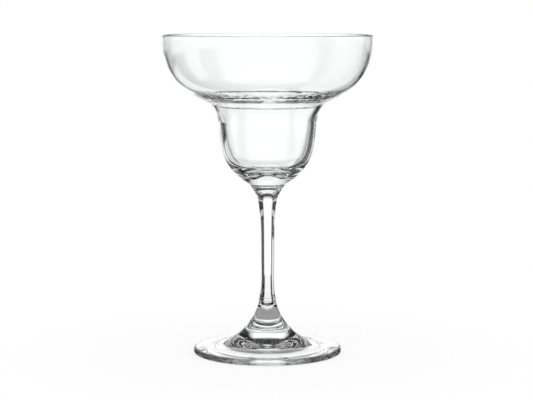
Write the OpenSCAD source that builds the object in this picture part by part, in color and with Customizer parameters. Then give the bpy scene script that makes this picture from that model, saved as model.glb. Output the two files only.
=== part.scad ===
// Margarita glass in clear glass: a wide dish over a small cup, on a collar, a waisted stem and a foot.
// The four pieces are fused together, each flat on the next, and all of them are turned about one axis.
// The glass stands on the table at height zero, with its axis upright.

/* [Dish] */
// Outer width of the rim
rim_d = 112; // [104:0.5:122]
// Wall at the rim
rim_wall = 1.4; // [1.2:0.1:2.2]
// Height of the dish, from the shoulder to the rim
dish_h = 35.8; // [30:0.2:42]
// Outer width of the shoulder, where the dish turns down into the cup
shoulder_d = 63; // [58:0.5:70]
// Wall at the shoulder, under the ledge round the mouth of the cup
shoulder_wall = 4; // [3:0.1:4.6]

/* [Cup] */
// Height of the throat, from the waist of the cup to the shoulder
throat_h = 11; // [8:0.2:14]
// Height of the cup, from its weld to its waist
cup_h = 32.2; // [28:0.2:38]
// Outer width of the waist
waist_d = 52; // [48:0.5:56]
// Wall at the waist
cup_wall = 3; // [2.4:0.1:4]
// Solid glass under the floor of the cup
floor_t = 6; // [4:0.1:10]

/* [Collar] */
// Height of the collar between bowl and stem
collar_h = 8.4; // [6:0.2:12]
// Width of the weld between bowl and collar
bowl_weld_d = 20.4; // [17:0.2:25]
// Width of the weld between collar and stem
stem_weld_d = 10; // [9:0.1:12]

/* [Stem] */
// Height of the stem between its two welds
stem_h = 54.6; // [40:0.2:75]
// Width of the stem where it is thinnest
stem_d = 7.3; // [6:0.1:8.4]
// Height of the thinnest place, as a share of the height of the stem
stem_thin_share = 0.44; // [0.3:0.01:0.6]
// Width of the stem at its weld to the foot
foot_weld_d = 9.2; // [8.5:0.1:11]
// Rounding of the glass on each side of that weld, which leaves a fine groove
foot_seam = 0.35; // [0.1:0.05:0.6]

/* [Foot] */
// Width of the foot
foot_d = 79; // [70:0.5:90]
// Height of the foot, from the table to its weld
foot_h = 28; // [22:0.5:34]
// Thickness of the foot at its edge
edge_t = 3.1; // [2.6:0.1:4]
// Rounding of the edge above
top_round = 1.4; // [0.8:0.1:1.5]
// Rounding of the edge below, where it meets the table
low_round = 0.6; // [0.4:0.1:1]
// Width of the cone of the foot, half way down
cone_d = 24; // [20:0.5:28]
// Height of that place over the table
cone_h = 13.5; // [10:0.5:16]
// Depth of the hollow under the foot
hollow_h = 5.2; // [3:0.1:6]
// Width of the flat ring that the foot stands on
bearing_w = 8; // [5:0.5:10]

/* [Hidden] */

// Slopes of the outside in degrees from level, where the stretches of the outline meet
cup_slope = 29;
waist_slope = 86;
shoulder_slope = 30;
collar_slope = 44;
collar_foot_slope = 68;
stem_head_slope = 89;
stem_base_slope = 76;
neck_slope = 80;
cone_slope = 49;
edge_slope = 3;

// Slope of the inside at the shoulder, where the dish ends in a level ledge before it turns down into the cup
ledge_slope = 0;

// Lengths of the two handles of each stretch, as shares of the distance between its ends
cup_shares = [0.47, 0.33];
throat_shares = [0.34, 0.23];
dish_shares = [0.23, 0.63];
dish_inside_shares = [0.62, 0.22];
throat_inside_shares = [0.05, 0.3];
cup_inside_shares = [0.56, 0.52];
collar_shares = [0.23, 0.3];
stem_top_shares = [0.95, 0.14];
stem_base_shares = [0.3, 0.35];
foot_top_shares = [0.35, 0.42];
neck_shares = [0.4, 0.31];

// How many facets one turn has, and how many steps a long stretch, a short stretch and a rounding have
turn_facets = 128;
long_steps = 24;
short_steps = 10;
round_steps = 6;

// Half widths
rim_r = rim_d / 2;
shoulder_r = shoulder_d / 2;
waist_r = waist_d / 2;
bowl_weld_r = bowl_weld_d / 2;
stem_weld_r = stem_weld_d / 2;
stem_r = stem_d / 2;
foot_weld_r = foot_weld_d / 2;
cone_r = cone_d / 2;
foot_r = foot_d / 2;
bearing_r = foot_r - low_round - bearing_w;

// Heights over the table
stem_top_z = foot_h + stem_h;
bowl_z = stem_top_z + collar_h;
waist_z = bowl_z + cup_h;
shoulder_z = waist_z + throat_h;
rim_z = shoulder_z + dish_h;

// The lip is a half round over the whole wall
lip_r = rim_wall / 2;

// A full turn of a direction from level, pointing outwards and up, to the same line pointing inwards and down
BACK = 180;

// Radius of the shallow dome under the foot, from its depth and half width
hollow_r = (bearing_r ^ 2 + hollow_h ^ 2) / (2 * hollow_h);
hollow_turn = 2 * atan(hollow_h / bearing_r);

// One point at a distance from another, in a direction given in degrees
function away(from, distance, direction) = from + distance * [cos(direction), sin(direction)];

// Points of a smooth stretch from a to b, without a itself. It leaves a and reaches b in the given directions.
function stretch(a, b, leave, reach, shares, steps) =
    let (
        span = norm(b - a),
        p = away(a, span * shares[0], leave),
        q = away(b, -span * shares[1], reach)
    )
    [for (i = [1 : steps])
        let (t = i / steps, u = 1 - t)
        u ^ 3 * a + 3 * u ^ 2 * t * p + 3 * u * t ^ 2 * q + t ^ 3 * b];

// Points of an arc from one direction to another, both ends included
function arc(centre, radius, from, to, steps) =
    [for (i = [0 : steps]) away(centre, radius, from + (to - from) * i / steps)];

// Stations on the outside of the bowl
bowl_weld = [bowl_weld_r, bowl_z];
waist = [waist_r, waist_z];
shoulder = [shoulder_r, shoulder_z];
rim_side = [rim_r, rim_z - lip_r];

// The same stations on the inside, square to the outside through the wall
shoulder_inside = away(shoulder, shoulder_wall, shoulder_slope + 90);
waist_inside = away(waist, cup_wall, waist_slope + 90);
rim_inside = rim_side - [rim_wall, 0];
cup_floor = [0, bowl_z + floor_t];

// The outside of the bowl from its weld up to the rim
function bowl_outside() = concat(
    [[0, bowl_z], bowl_weld],
    stretch(bowl_weld, waist, cup_slope, waist_slope, cup_shares, long_steps),
    stretch(waist, shoulder, waist_slope, shoulder_slope, throat_shares, short_steps),
    stretch(shoulder, rim_side, shoulder_slope, 90, dish_shares, long_steps)
);

// The lip, and the inside of the bowl down to the floor of the cup
function bowl_inside() = concat(
    arc(rim_side - [lip_r, 0], lip_r, 0, BACK, 2 * round_steps),
    stretch(rim_inside, shoulder_inside, -90, ledge_slope - BACK, dish_inside_shares, long_steps),
    stretch(shoulder_inside, waist_inside, ledge_slope - BACK, waist_slope - BACK,
        throat_inside_shares, short_steps),
    stretch(waist_inside, cup_floor, waist_slope - BACK, -BACK, cup_inside_shares, long_steps)
);

// The collar flares from the head of the stem to the bowl
function collar_outline() = concat(
    [[0, stem_top_z], [stem_weld_r, stem_top_z]],
    stretch([stem_weld_r, stem_top_z], bowl_weld, collar_foot_slope, collar_slope, collar_shares,
        short_steps),
    [[0, bowl_z]]
);

// The stem, from the groove at the foot through its thinnest place to its head
function stem_outline() =
    let (
        base = [foot_weld_r, foot_h + foot_seam],
        thin = [stem_r, foot_h + stem_h * stem_thin_share],
        head = [stem_weld_r, stem_top_z]
    )
    concat(
        [[0, foot_h]],
        arc(base - [foot_seam, 0], foot_seam, -90, 0, round_steps),
        stretch(base, thin, BACK - stem_base_slope, 90, stem_base_shares, long_steps),
        stretch(thin, head, 90, stem_head_slope, stem_top_shares, long_steps),
        [[0, stem_top_z]]
    );

// The foot, from the dome under it round the edge and up the cone to the groove
function foot_outline() =
    let (
        edge_low = [foot_r - low_round, low_round],
        edge_high = [foot_r - top_round, edge_t - top_round],
        brim = away(edge_high, top_round, 90 - edge_slope),
        cone = [cone_r, cone_h],
        neck = [foot_weld_r, foot_h - foot_seam]
    )
    concat(
        arc([0, hollow_h - hollow_r], hollow_r, 90, 90 - hollow_turn, short_steps),
        arc(edge_low, low_round, -90, 0, round_steps),
        arc(edge_high, top_round, 0, 90 - edge_slope, round_steps),
        stretch(brim, cone, BACK - edge_slope, BACK - cone_slope, foot_top_shares, long_steps),
        stretch(cone, neck, BACK - cone_slope, BACK - neck_slope, neck_shares, long_steps),
        arc(neck - [foot_seam, 0], foot_seam, 0, 90, round_steps),
        [[0, foot_h]]
    );

// Turns an outline about the axis
module turned(outline) {
    rotate_extrude($fn = turn_facets) polygon(outline);
}

module bowl() {
    color("azure", 0.4) turned(concat(bowl_outside(), bowl_inside()));
}

module collar() {
    color("lightcyan", 0.5) turned(collar_outline());
}

module stem() {
    color("azure", 0.5) turned(stem_outline());
}

module foot() {
    color("lightcyan", 0.45) turned(foot_outline());
}

bowl();
collar();
stem();
foot();
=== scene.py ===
import math

import bpy
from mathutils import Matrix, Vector


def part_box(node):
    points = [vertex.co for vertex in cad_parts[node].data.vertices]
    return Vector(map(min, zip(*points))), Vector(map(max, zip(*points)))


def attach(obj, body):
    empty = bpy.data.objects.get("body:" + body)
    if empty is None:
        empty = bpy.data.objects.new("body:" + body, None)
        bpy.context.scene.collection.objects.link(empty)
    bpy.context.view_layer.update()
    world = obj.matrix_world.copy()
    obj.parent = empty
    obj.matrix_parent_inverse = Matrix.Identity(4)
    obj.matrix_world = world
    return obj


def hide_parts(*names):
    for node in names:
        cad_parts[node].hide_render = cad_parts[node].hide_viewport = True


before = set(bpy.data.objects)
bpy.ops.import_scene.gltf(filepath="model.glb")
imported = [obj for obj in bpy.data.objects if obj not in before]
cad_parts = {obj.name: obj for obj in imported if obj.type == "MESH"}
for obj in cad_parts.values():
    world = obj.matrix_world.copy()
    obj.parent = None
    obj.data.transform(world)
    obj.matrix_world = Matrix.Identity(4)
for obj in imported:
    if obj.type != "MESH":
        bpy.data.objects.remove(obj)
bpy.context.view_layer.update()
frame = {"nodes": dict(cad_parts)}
mm = 0.001
print("frame loaded:", ", ".join(frame["nodes"]))


# Shader maths: a wire is one output of a node, and an expression on wires adds Math nodes

class Wire:
    def __init__(self, shader, socket):
        self.shader = shader
        self.socket = socket

    def maths(self, operation, *values):
        return self.shader.add("ShaderNodeMath", {"operation": operation}, dict(enumerate(values)))

    def __add__(self, other):
        return self.maths("ADD", self, other)

    def __radd__(self, other):
        return self.maths("ADD", other, self)

    def __sub__(self, other):
        return self.maths("SUBTRACT", self, other)

    def __rsub__(self, other):
        return self.maths("SUBTRACT", other, self)

    def __mul__(self, other):
        return self.maths("MULTIPLY", self, other)

    def __rmul__(self, other):
        return self.maths("MULTIPLY", other, self)

    def __truediv__(self, other):
        return self.maths("DIVIDE", self, other)

    def __abs__(self):
        return self.maths("ABSOLUTE", self)

    def root(self):
        return self.maths("SQRT", self)

    def arcsine(self):
        return self.maths("ARCSINE", self)

    def atLeast(self, other):
        return self.maths("MAXIMUM", self, other)

    def split(self):  # the x, y and z of a vector
        made = self.shader.add("ShaderNodeSeparateXYZ", inputs={0: self}).socket.node
        return [Wire(self.shader, socket) for socket in made.outputs]


class Shader:
    def __init__(self, owner):  # the owner is a material or a world
        owner.use_nodes = True
        self.tree = owner.node_tree
        self.tree.nodes.clear()

    def add(self, kind, settings=None, inputs=None, output=0):
        made = self.tree.nodes.new(kind)
        for name, value in (settings or {}).items():
            setattr(made, name, value)
        for name, value in (inputs or {}).items():
            if isinstance(value, Wire):
                self.tree.links.new(value.socket, made.inputs[name])
            else:
                made.inputs[name].default_value = value
        return Wire(self, made.outputs[output] if len(made.outputs) else None)


def ramp(value, low, high, fromValue=0.0, toValue=1.0):  # a smooth step from low to high
    return value.shader.add("ShaderNodeMapRange", {"interpolation_type": "SMOOTHSTEP"},
                            {"Value": value, "From Min": low, "From Max": high,
                             "To Min": fromValue, "To Max": toValue})


def rayIs(shader, name):
    return shader.add("ShaderNodeLightPath", output=name)


def seenThroughGlass(shader):
    return rayIs(shader, "Is Transmission Ray").atLeast(rayIs(shader, "Is Glossy Ray"))


# Camera, at the place that the ellipses of the rim and the foot give. It looks down by "down" degrees.

camera = {"lens": 115, "sensor": 36, "distance": 904.4 * mm, "height": 183.1 * mm, "down": 6.376,
          "aside": -0.5 * mm, "sight": 50}


def placeCamera():
    bpy.ops.object.camera_add(location=(camera["aside"], -camera["distance"], camera["height"]))
    made = bpy.context.object
    made.data.lens = camera["lens"]
    made.data.sensor_width = camera["sensor"]
    made.rotation_euler.x = math.radians(90 - camera["down"])
    made.data.clip_end = camera["sight"]
    bpy.context.scene.camera = made


# Studio: the table and the room are white to the eye. What glass bends and mirrors is a set of white panels
# with dark gaps between them, as a glass photographer lights it. A panel's middle stands "turn" degrees to
# the right of straight back, and it goes on for "half" degrees to both sides before its soft edges. On the
# table it is painted glow that only glass sees, from "near" to "far", in metres, where it fades until
# "tableFade" times as far off; in the room it lights up to "high" degrees, where it fades over "fade"
# degrees. Overhead the room is lit again. "shade" is the share of matt white in the table round the foot,
# which takes the shadow.

studio = {"gap": 0.02, "room": 1, "floor": 30, "floorDrop": 0.05 * mm,
          "shade": 0.35, "shadeHalf": 60 * mm, "shadeSoft": 120 * mm,
          "tableFade": 1.2, "leastFade": 0.1 * mm,
          "highSky": 0.95, "highSkyFrom": 53, "highSkyTo": 67}

# Painted shade under the foot: seen through it, the table is painted darker in the middle than near the edge
paintedShadeUnderFoot = {"half": 18 * mm, "soft": 5 * mm, "level": 0.33, "edge": 39.5 * mm, "edgeSoft": 1 * mm}

panels = {
    "near": dict(turn=-2, half=14, soft=7, level=0.95, near=0.05, far=0.3, high=0, fade=1),
    "behind": dict(turn=-2, half=15, soft=12, level=1.1, near=0.25, far=30, high=20, fade=14),
    "around": dict(turn=0, half=130, soft=8, level=0.5, near=1.4, far=30, high=0, fade=1),
    "left": dict(turn=-105, half=40, soft=30, level=1.05, near=0.8, far=30, high=0, fade=1),
    "corner": dict(turn=-45, half=10, soft=5, level=0.8, near=0.06, far=0.48, high=0, fade=1),
    "side": dict(turn=-90, half=9, soft=5, level=0.95, near=0.16, far=30, high=3, fade=2),
    "right": dict(turn=79, half=12, soft=26, level=1.05, near=0.06, far=30, high=0, fade=1),
    "front": dict(turn=180, half=45, soft=20, level=1.05, near=0.1, far=30, high=2, fade=2),
}


def panelLight(x, y, reach):  # the brightest panel in the direction x, y, each as far as it reaches
    out = (x * x + y * y).root()
    light = 0 * out + studio["gap"]
    for panel in panels.values():
        turn = math.radians(panel["turn"])
        facing = (x * math.sin(turn) + y * math.cos(turn)) / out
        edges = [math.cos(math.radians(panel["half"] + soft)) for soft in (panel["soft"], 0)]
        light = light.atLeast(ramp(facing, *edges, 0, panel["level"]) * reach(panel, out))
    return light


def lightRoom():
    world = bpy.data.worlds.new("studioRoom")
    shader = Shader(world)
    x, y, z = shader.add("ShaderNodeTexCoord", output="Generated").split()
    height = z.arcsine() * (180 / math.pi)

    def reach(panel, out):
        return ramp(height, panel["high"], panel["high"] + panel["fade"], 1, 0)

    high = ramp(height, studio["highSkyFrom"], studio["highSkyTo"], 0, studio["highSky"])
    walls = panelLight(x, y, reach)
    bent = seenThroughGlass(shader)
    level = bent * walls.atLeast(high) + (1 - bent) * studio["room"]
    light = shader.add("ShaderNodeBackground", inputs={"Color": (1, 1, 1, 1), "Strength": level})
    shader.add("ShaderNodeOutputWorld", inputs={"Surface": light})
    bpy.context.scene.world = world


def layFloor():
    bpy.ops.mesh.primitive_plane_add(size=studio["floor"], location=(0, 0, -studio["floorDrop"]))
    plane = bpy.context.object
    plane.name = "studioFloor"
    bpy.ops.object.transform_apply(location=True, rotation=True, scale=True)
    material = bpy.data.materials.new("studioTable")
    shader = Shader(material)
    x, y = shader.add("ShaderNodeTexCoord", output="Object").split()[:2]
    out = (x * x + y * y).root()

    def reach(panel, out):
        near, far, fade = panel["near"], panel["far"], studio["tableFade"]
        return ramp(out, near, near * fade + studio["leastFade"], 0, 1) * ramp(out, far, far * fade, 1, 0)

    def step(start, soft, fromValue=0, toValue=1):
        return ramp(out, start, start + soft, fromValue, toValue)

    # painted shade: under the middle of the foot the table glows less, as if in the foot's shadow
    paintedShadeUnder = step(paintedShadeUnderFoot["half"], paintedShadeUnderFoot["soft"], paintedShadeUnderFoot["level"], 1)
    outside = step(paintedShadeUnderFoot["edge"], paintedShadeUnderFoot["edgeSoft"])
    bent = seenThroughGlass(shader)
    # What glass sees of the table is painted glow: panels with dark gaps outside the foot, painted shade
    # under it
    glow = outside * panelLight(x, y, reach) + (1 - outside) * paintedShadeUnder
    level = bent * glow + (1 - bent)
    shine = shader.add("ShaderNodeEmission", inputs={"Color": (1, 1, 1, 1), "Strength": level})
    matt = shader.add("ShaderNodeBsdfDiffuse", inputs={"Color": (1, 1, 1, 1)})
    share = (1 - bent) * step(studio["shadeHalf"], studio["shadeSoft"], studio["shade"], 0)
    both = shader.add("ShaderNodeMixShader", inputs={0: share, 1: shine, 2: matt})
    shader.add("ShaderNodeOutputMaterial", inputs={"Surface": both})
    plane.data.materials.append(material)


placeCamera()
lightRoom()
layFloor()
print("camera and studio placed")


# Glass: clear, with the faint waves that hot glass keeps, and ripples in a band where a piece has them. A
# stretch of less than 1 draws the waves out along x, y or z. A second finish, for faces that are fused to
# the next piece, lets light pass unbent.

glass = {"ior": 1.5, "tint": (0.985, 0.99, 0.99, 1), "haze": 0}


def glassFinish(name, waves, ripples=None):
    material = bpy.data.materials.new(name)
    shader = Shader(material)
    place = shader.add("ShaderNodeTexCoord", output="Object")
    drawn = shader.add("ShaderNodeMapping", inputs={"Vector": place, "Scale": waves["stretch"]})
    height = shader.add("ShaderNodeTexNoise",
                        inputs={"Vector": drawn, "Scale": 1 / waves["length"], "Detail": 1})
    if ripples:
        band = ramp(abs(place.split()[2] - ripples["height"]), 0, ripples["half"], 1, 0)
        fine = shader.add("ShaderNodeTexNoise",
                          inputs={"Vector": place, "Scale": 1 / ripples["length"], "Detail": 1})
        height = height + band * fine * (ripples["depth"] / waves["depth"])
    bump = shader.add("ShaderNodeBump", inputs={"Height": height, "Strength": 1, "Distance": waves["depth"]})
    body = shader.add("ShaderNodeBsdfPrincipled", inputs={
        "Base Color": glass["tint"], "Roughness": glass["haze"], "IOR": glass["ior"],
        "Transmission Weight": 1, "Normal": bump})
    shader.add("ShaderNodeOutputMaterial", inputs={"Surface": body})
    return material


def fusedFinish():
    material = bpy.data.materials.new("fusedGlass")
    shader = Shader(material)
    body = shader.add("ShaderNodeBsdfPrincipled", inputs={"Alpha": 0})
    shader.add("ShaderNodeOutputMaterial", inputs={"Surface": body})
    return material


fused = fusedFinish()


# Turned pieces: half an outline is drawn as a curve with handles, made a mesh and spun about the axis

turning = {"steps": 192, "curve": 24, "edge": 30, "merge": 0.004 * mm}

# How level a face is, and how near to the height of a weld, when it is a fused one
weldFace = {"level": 0.999, "near": 0.01 * mm}


def away(point, distance, direction):
    return Vector((point[0] + distance * math.cos(math.radians(direction)),
                   point[1] + distance * math.sin(math.radians(direction))))


def drawOutline(name, start, stretches):  # a stretch is its end, its two directions and its handles' shares
    bpy.ops.object.select_all(action="DESELECT")
    bpy.ops.curve.primitive_bezier_curve_add(location=(0, 0, 0))
    curve = bpy.context.object
    curve.name = name
    spline = curve.data.splines[0]
    spline.bezier_points.add(len(stretches) - 1)
    curve.data.resolution_u = turning["curve"]
    here = Vector(start)
    points = spline.bezier_points
    for point in points:
        point.handle_left_type = point.handle_right_type = "FREE"
    points[0].co = points[0].handle_left = (here.x, 0, here.y)
    for index, (end, leave, arrive, shares) in enumerate(stretches):
        end = Vector(end)
        span = (end - here).length
        out = away(here, span * shares[0], leave)
        into = away(end, -span * shares[1], arrive)
        points[index].handle_right = (out.x, 0, out.y)
        points[index + 1].handle_left = (into.x, 0, into.y)
        points[index + 1].co = points[index + 1].handle_right = (end.x, 0, end.y)
        here = end
    bpy.ops.object.convert(target="MESH")
    return bpy.context.object


def spin(piece):
    bpy.ops.object.mode_set(mode="EDIT")
    bpy.ops.mesh.select_all(action="SELECT")
    bpy.ops.mesh.remove_doubles(threshold=turning["merge"])
    bpy.ops.mesh.spin(steps=turning["steps"], angle=math.tau, center=(0, 0, 0), axis=(0, 0, 1))
    bpy.ops.mesh.select_all(action="SELECT")
    bpy.ops.mesh.remove_doubles(threshold=turning["merge"])
    bpy.ops.mesh.normals_make_consistent(inside=False)
    bpy.ops.object.mode_set(mode="OBJECT")
    bpy.ops.object.shade_smooth_by_angle(angle=math.radians(turning["edge"]))


def finishPiece(piece, cadNode, finish, welds):
    piece.data.materials.append(finish)
    piece.data.materials.append(fused)
    for face in piece.data.polygons:
        flat = abs(face.normal.z) > weldFace["level"]
        if flat and any(abs(face.center.z - weld) < weldFace["near"] for weld in welds):
            face.material_index = 1
    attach(piece, "root")
    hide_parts(cadNode)
    print(cadNode, "turned,", len(piece.data.polygons), "faces")


def line(start, end):  # a straight stretch
    step = Vector(end) - Vector(start)
    way = math.degrees(math.atan2(step.y, step.x))
    return (end, way, way, (1 / 3, 1 / 3))


def arcShare(turn):  # handles of this share make a stretch an arc of so many degrees
    turn = math.radians(turn)
    return 2 / 3 * math.tan(turn / 4) / math.sin(turn / 2)


def rounding(centre, radius, first, last):  # an arc of up to a quarter turn, as one stretch
    turn = last - first
    side = math.copysign(90, turn)
    share = arcShare(abs(turn))
    return (away(centre, radius, last), first + side, last + side, (share, share))


# The heights and half widths of the welds and the rim come from the frame

def top(name):
    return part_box(name)[1].z


def halfWidth(name):
    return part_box(name)[1].x


weldLow, weldMid, weldHigh = top("foot"), top("stem"), top("collar")
rimTop, rimHalf = top("bowl"), halfWidth("bowl")
collarHalf, headHalf = halfWidth("collar"), halfWidth("stem")

# Bowl: slopes are in degrees from level, and shares are the two handles of a stretch as parts of its span
bowl = {"waistHalf": 26 * mm, "waistRise": 32.2 * mm, "shoulderHalf": 31.5 * mm, "throatRise": 11 * mm,
        "rimWall": 1.4 * mm, "shoulderWall": 4 * mm, "cupWall": 3 * mm, "floor": 6 * mm,
        "cupSlope": 29, "waistSlope": 86, "shoulderSlope": 30, "ledgeSlope": 0,
        "cupShares": (0.47, 0.33), "throatShares": (0.34, 0.23), "dishShares": (0.23, 0.63),
        "dishInShares": (0.62, 0.22), "throatInShares": (0.05, 0.3), "cupInShares": (0.56, 0.52),
        "waves": {"length": 12 * mm, "depth": 0.07 * mm, "stretch": (1, 1, 1)},
        "ripples": {"height": 137 * mm, "half": 5 * mm, "length": 4 * mm, "depth": 0.4 * mm}}


def makeBowl():
    lip = bowl["rimWall"] / 2
    weld = Vector((collarHalf, weldHigh))
    waist = Vector((bowl["waistHalf"], weldHigh + bowl["waistRise"]))
    shoulder = Vector((bowl["shoulderHalf"], waist.y + bowl["throatRise"]))
    rim = Vector((rimHalf, rimTop - lip))
    shoulderIn = away(shoulder, bowl["shoulderWall"], bowl["shoulderSlope"] + 90)
    waistIn = away(waist, bowl["cupWall"], bowl["waistSlope"] + 90)
    floor = Vector((0, weldHigh + bowl["floor"]))
    axis = Vector((0, weldHigh))
    crest = Vector((rim.x - lip, rim.y))
    low, mid, high, ledge = bowl["cupSlope"], bowl["waistSlope"], bowl["shoulderSlope"], bowl["ledgeSlope"]
    piece = drawOutline("bowlGlass", axis, [
        line(axis, weld),
        (waist, low, mid, bowl["cupShares"]),
        (shoulder, mid, high, bowl["throatShares"]),
        (rim, high, 90, bowl["dishShares"]),
        rounding(crest, lip, 0, 90),
        rounding(crest, lip, 90, 180),
        (shoulderIn, -90, ledge - 180, bowl["dishInShares"]),
        (waistIn, ledge - 180, mid - 180, bowl["throatInShares"]),
        (floor, mid - 180, -180, bowl["cupInShares"]),
    ])
    spin(piece)
    finish = glassFinish("bowlClear", bowl["waves"], bowl["ripples"])
    finishPiece(piece, "bowl", finish, [weldHigh])


# Collar
collar = {"lowSlope": 68, "highSlope": 44, "shares": (0.23, 0.3),
          "waves": {"length": 5 * mm, "depth": 0.1 * mm, "stretch": (0.4, 0.4, 1)}}


def makeCollar():
    low, high = Vector((0, weldMid)), Vector((0, weldHigh))
    head, weld = Vector((headHalf, weldMid)), Vector((collarHalf, weldHigh))
    piece = drawOutline("collarGlass", low, [
        line(low, head),
        (weld, collar["lowSlope"], collar["highSlope"], collar["shares"]),
        line(weld, high),
    ])
    spin(piece)
    finish = glassFinish("collarClear", collar["waves"])
    finishPiece(piece, "collar", finish, [weldMid, weldHigh])


# Stem
stem = {"thinHalf": 3.65 * mm, "thinShare": 0.44, "baseHalf": 4.6 * mm, "groove": 0.35 * mm,
        "headSlope": 89, "baseSlope": 76, "baseShares": (0.3, 0.35), "topShares": (0.95, 0.14),
        "waves": {"length": 8 * mm, "depth": 0.02 * mm, "stretch": (1, 1, 0.2)}}


def makeStem():
    low, high = Vector((0, weldLow)), Vector((0, weldMid))
    groove = Vector((stem["baseHalf"] - stem["groove"], weldLow + stem["groove"]))
    thin = Vector((stem["thinHalf"], weldLow + (weldMid - weldLow) * stem["thinShare"]))
    head = Vector((headHalf, weldMid))
    piece = drawOutline("stemGlass", low, [
        line(low, (groove.x, weldLow)),
        rounding(groove, stem["groove"], -90, 0),
        (thin, 180 - stem["baseSlope"], 90, stem["baseShares"]),
        (head, 90, stem["headSlope"], stem["topShares"]),
        line(head, high),
    ])
    spin(piece)
    finishPiece(piece, "stem", glassFinish("stemClear", stem["waves"]), [weldLow, weldMid])


# Foot: it meets the stem at the same groove
foot = {"edge": 3.1 * mm, "lowRound": 0.6 * mm, "topRound": 1.4 * mm,
        "coneHalf": 12 * mm, "coneHeight": 13.5 * mm, "hollow": 5.2 * mm, "ring": 8 * mm,
        "edgeSlope": 3, "coneSlope": 49, "neckSlope": 80,
        "topShares": (0.35, 0.42), "neckShares": (0.4, 0.31),
        "waves": {"length": 2.5 * mm, "depth": 0.18 * mm, "stretch": (0.2, 0.2, 1)}}


def makeFoot():
    footHalf, groove = halfWidth("foot"), stem["groove"]
    lowRound, topRound = foot["lowRound"], foot["topRound"]
    ringIn = footHalf - lowRound - foot["ring"]
    lowCurl = Vector((footHalf - lowRound, lowRound))
    highCurl = Vector((footHalf - topRound, foot["edge"] - topRound))
    cone = Vector((foot["coneHalf"], foot["coneHeight"]))
    neck = Vector((stem["baseHalf"], weldLow - groove))
    dome = Vector((0, foot["hollow"]))
    domeSlope = math.degrees(2 * math.atan(foot["hollow"] / ringIn))
    domeShare = arcShare(domeSlope)
    ringStart, ringEnd = Vector((ringIn, 0)), Vector((lowCurl.x, 0))
    weld, high = Vector((neck.x - groove, weldLow)), Vector((0, weldLow))
    edge, slope, neckSlope = 180 - foot["edgeSlope"], 180 - foot["coneSlope"], 180 - foot["neckSlope"]
    piece = drawOutline("footGlass", dome, [
        (ringStart, 0, -domeSlope, (domeShare, domeShare)),
        line(ringStart, ringEnd),
        rounding(lowCurl, lowRound, -90, 0),
        line((footHalf, lowCurl.y), (footHalf, highCurl.y)),
        rounding(highCurl, topRound, 0, 90 - foot["edgeSlope"]),
        (cone, edge, slope, foot["topShares"]),
        (neck, slope, neckSlope, foot["neckShares"]),
        rounding(Vector((neck.x - groove, neck.y)), groove, 0, 90),
        line(weld, high),
    ])
    spin(piece)
    finishPiece(piece, "foot", glassFinish("footClear", foot["waves"]), [weldLow])


makeBowl()
makeCollar()
makeStem()
makeFoot()

# How often light may bend or mirror on its way through the glass
lightPaths = {"max_bounces": 24, "transmission_bounces": 20, "glossy_bounces": 12,
              "transparent_max_bounces": 24}

scene = bpy.context.scene
scene.view_settings.view_transform = "Standard"
for name, count in lightPaths.items():
    setattr(scene.cycles, name, count)
print("light paths set")
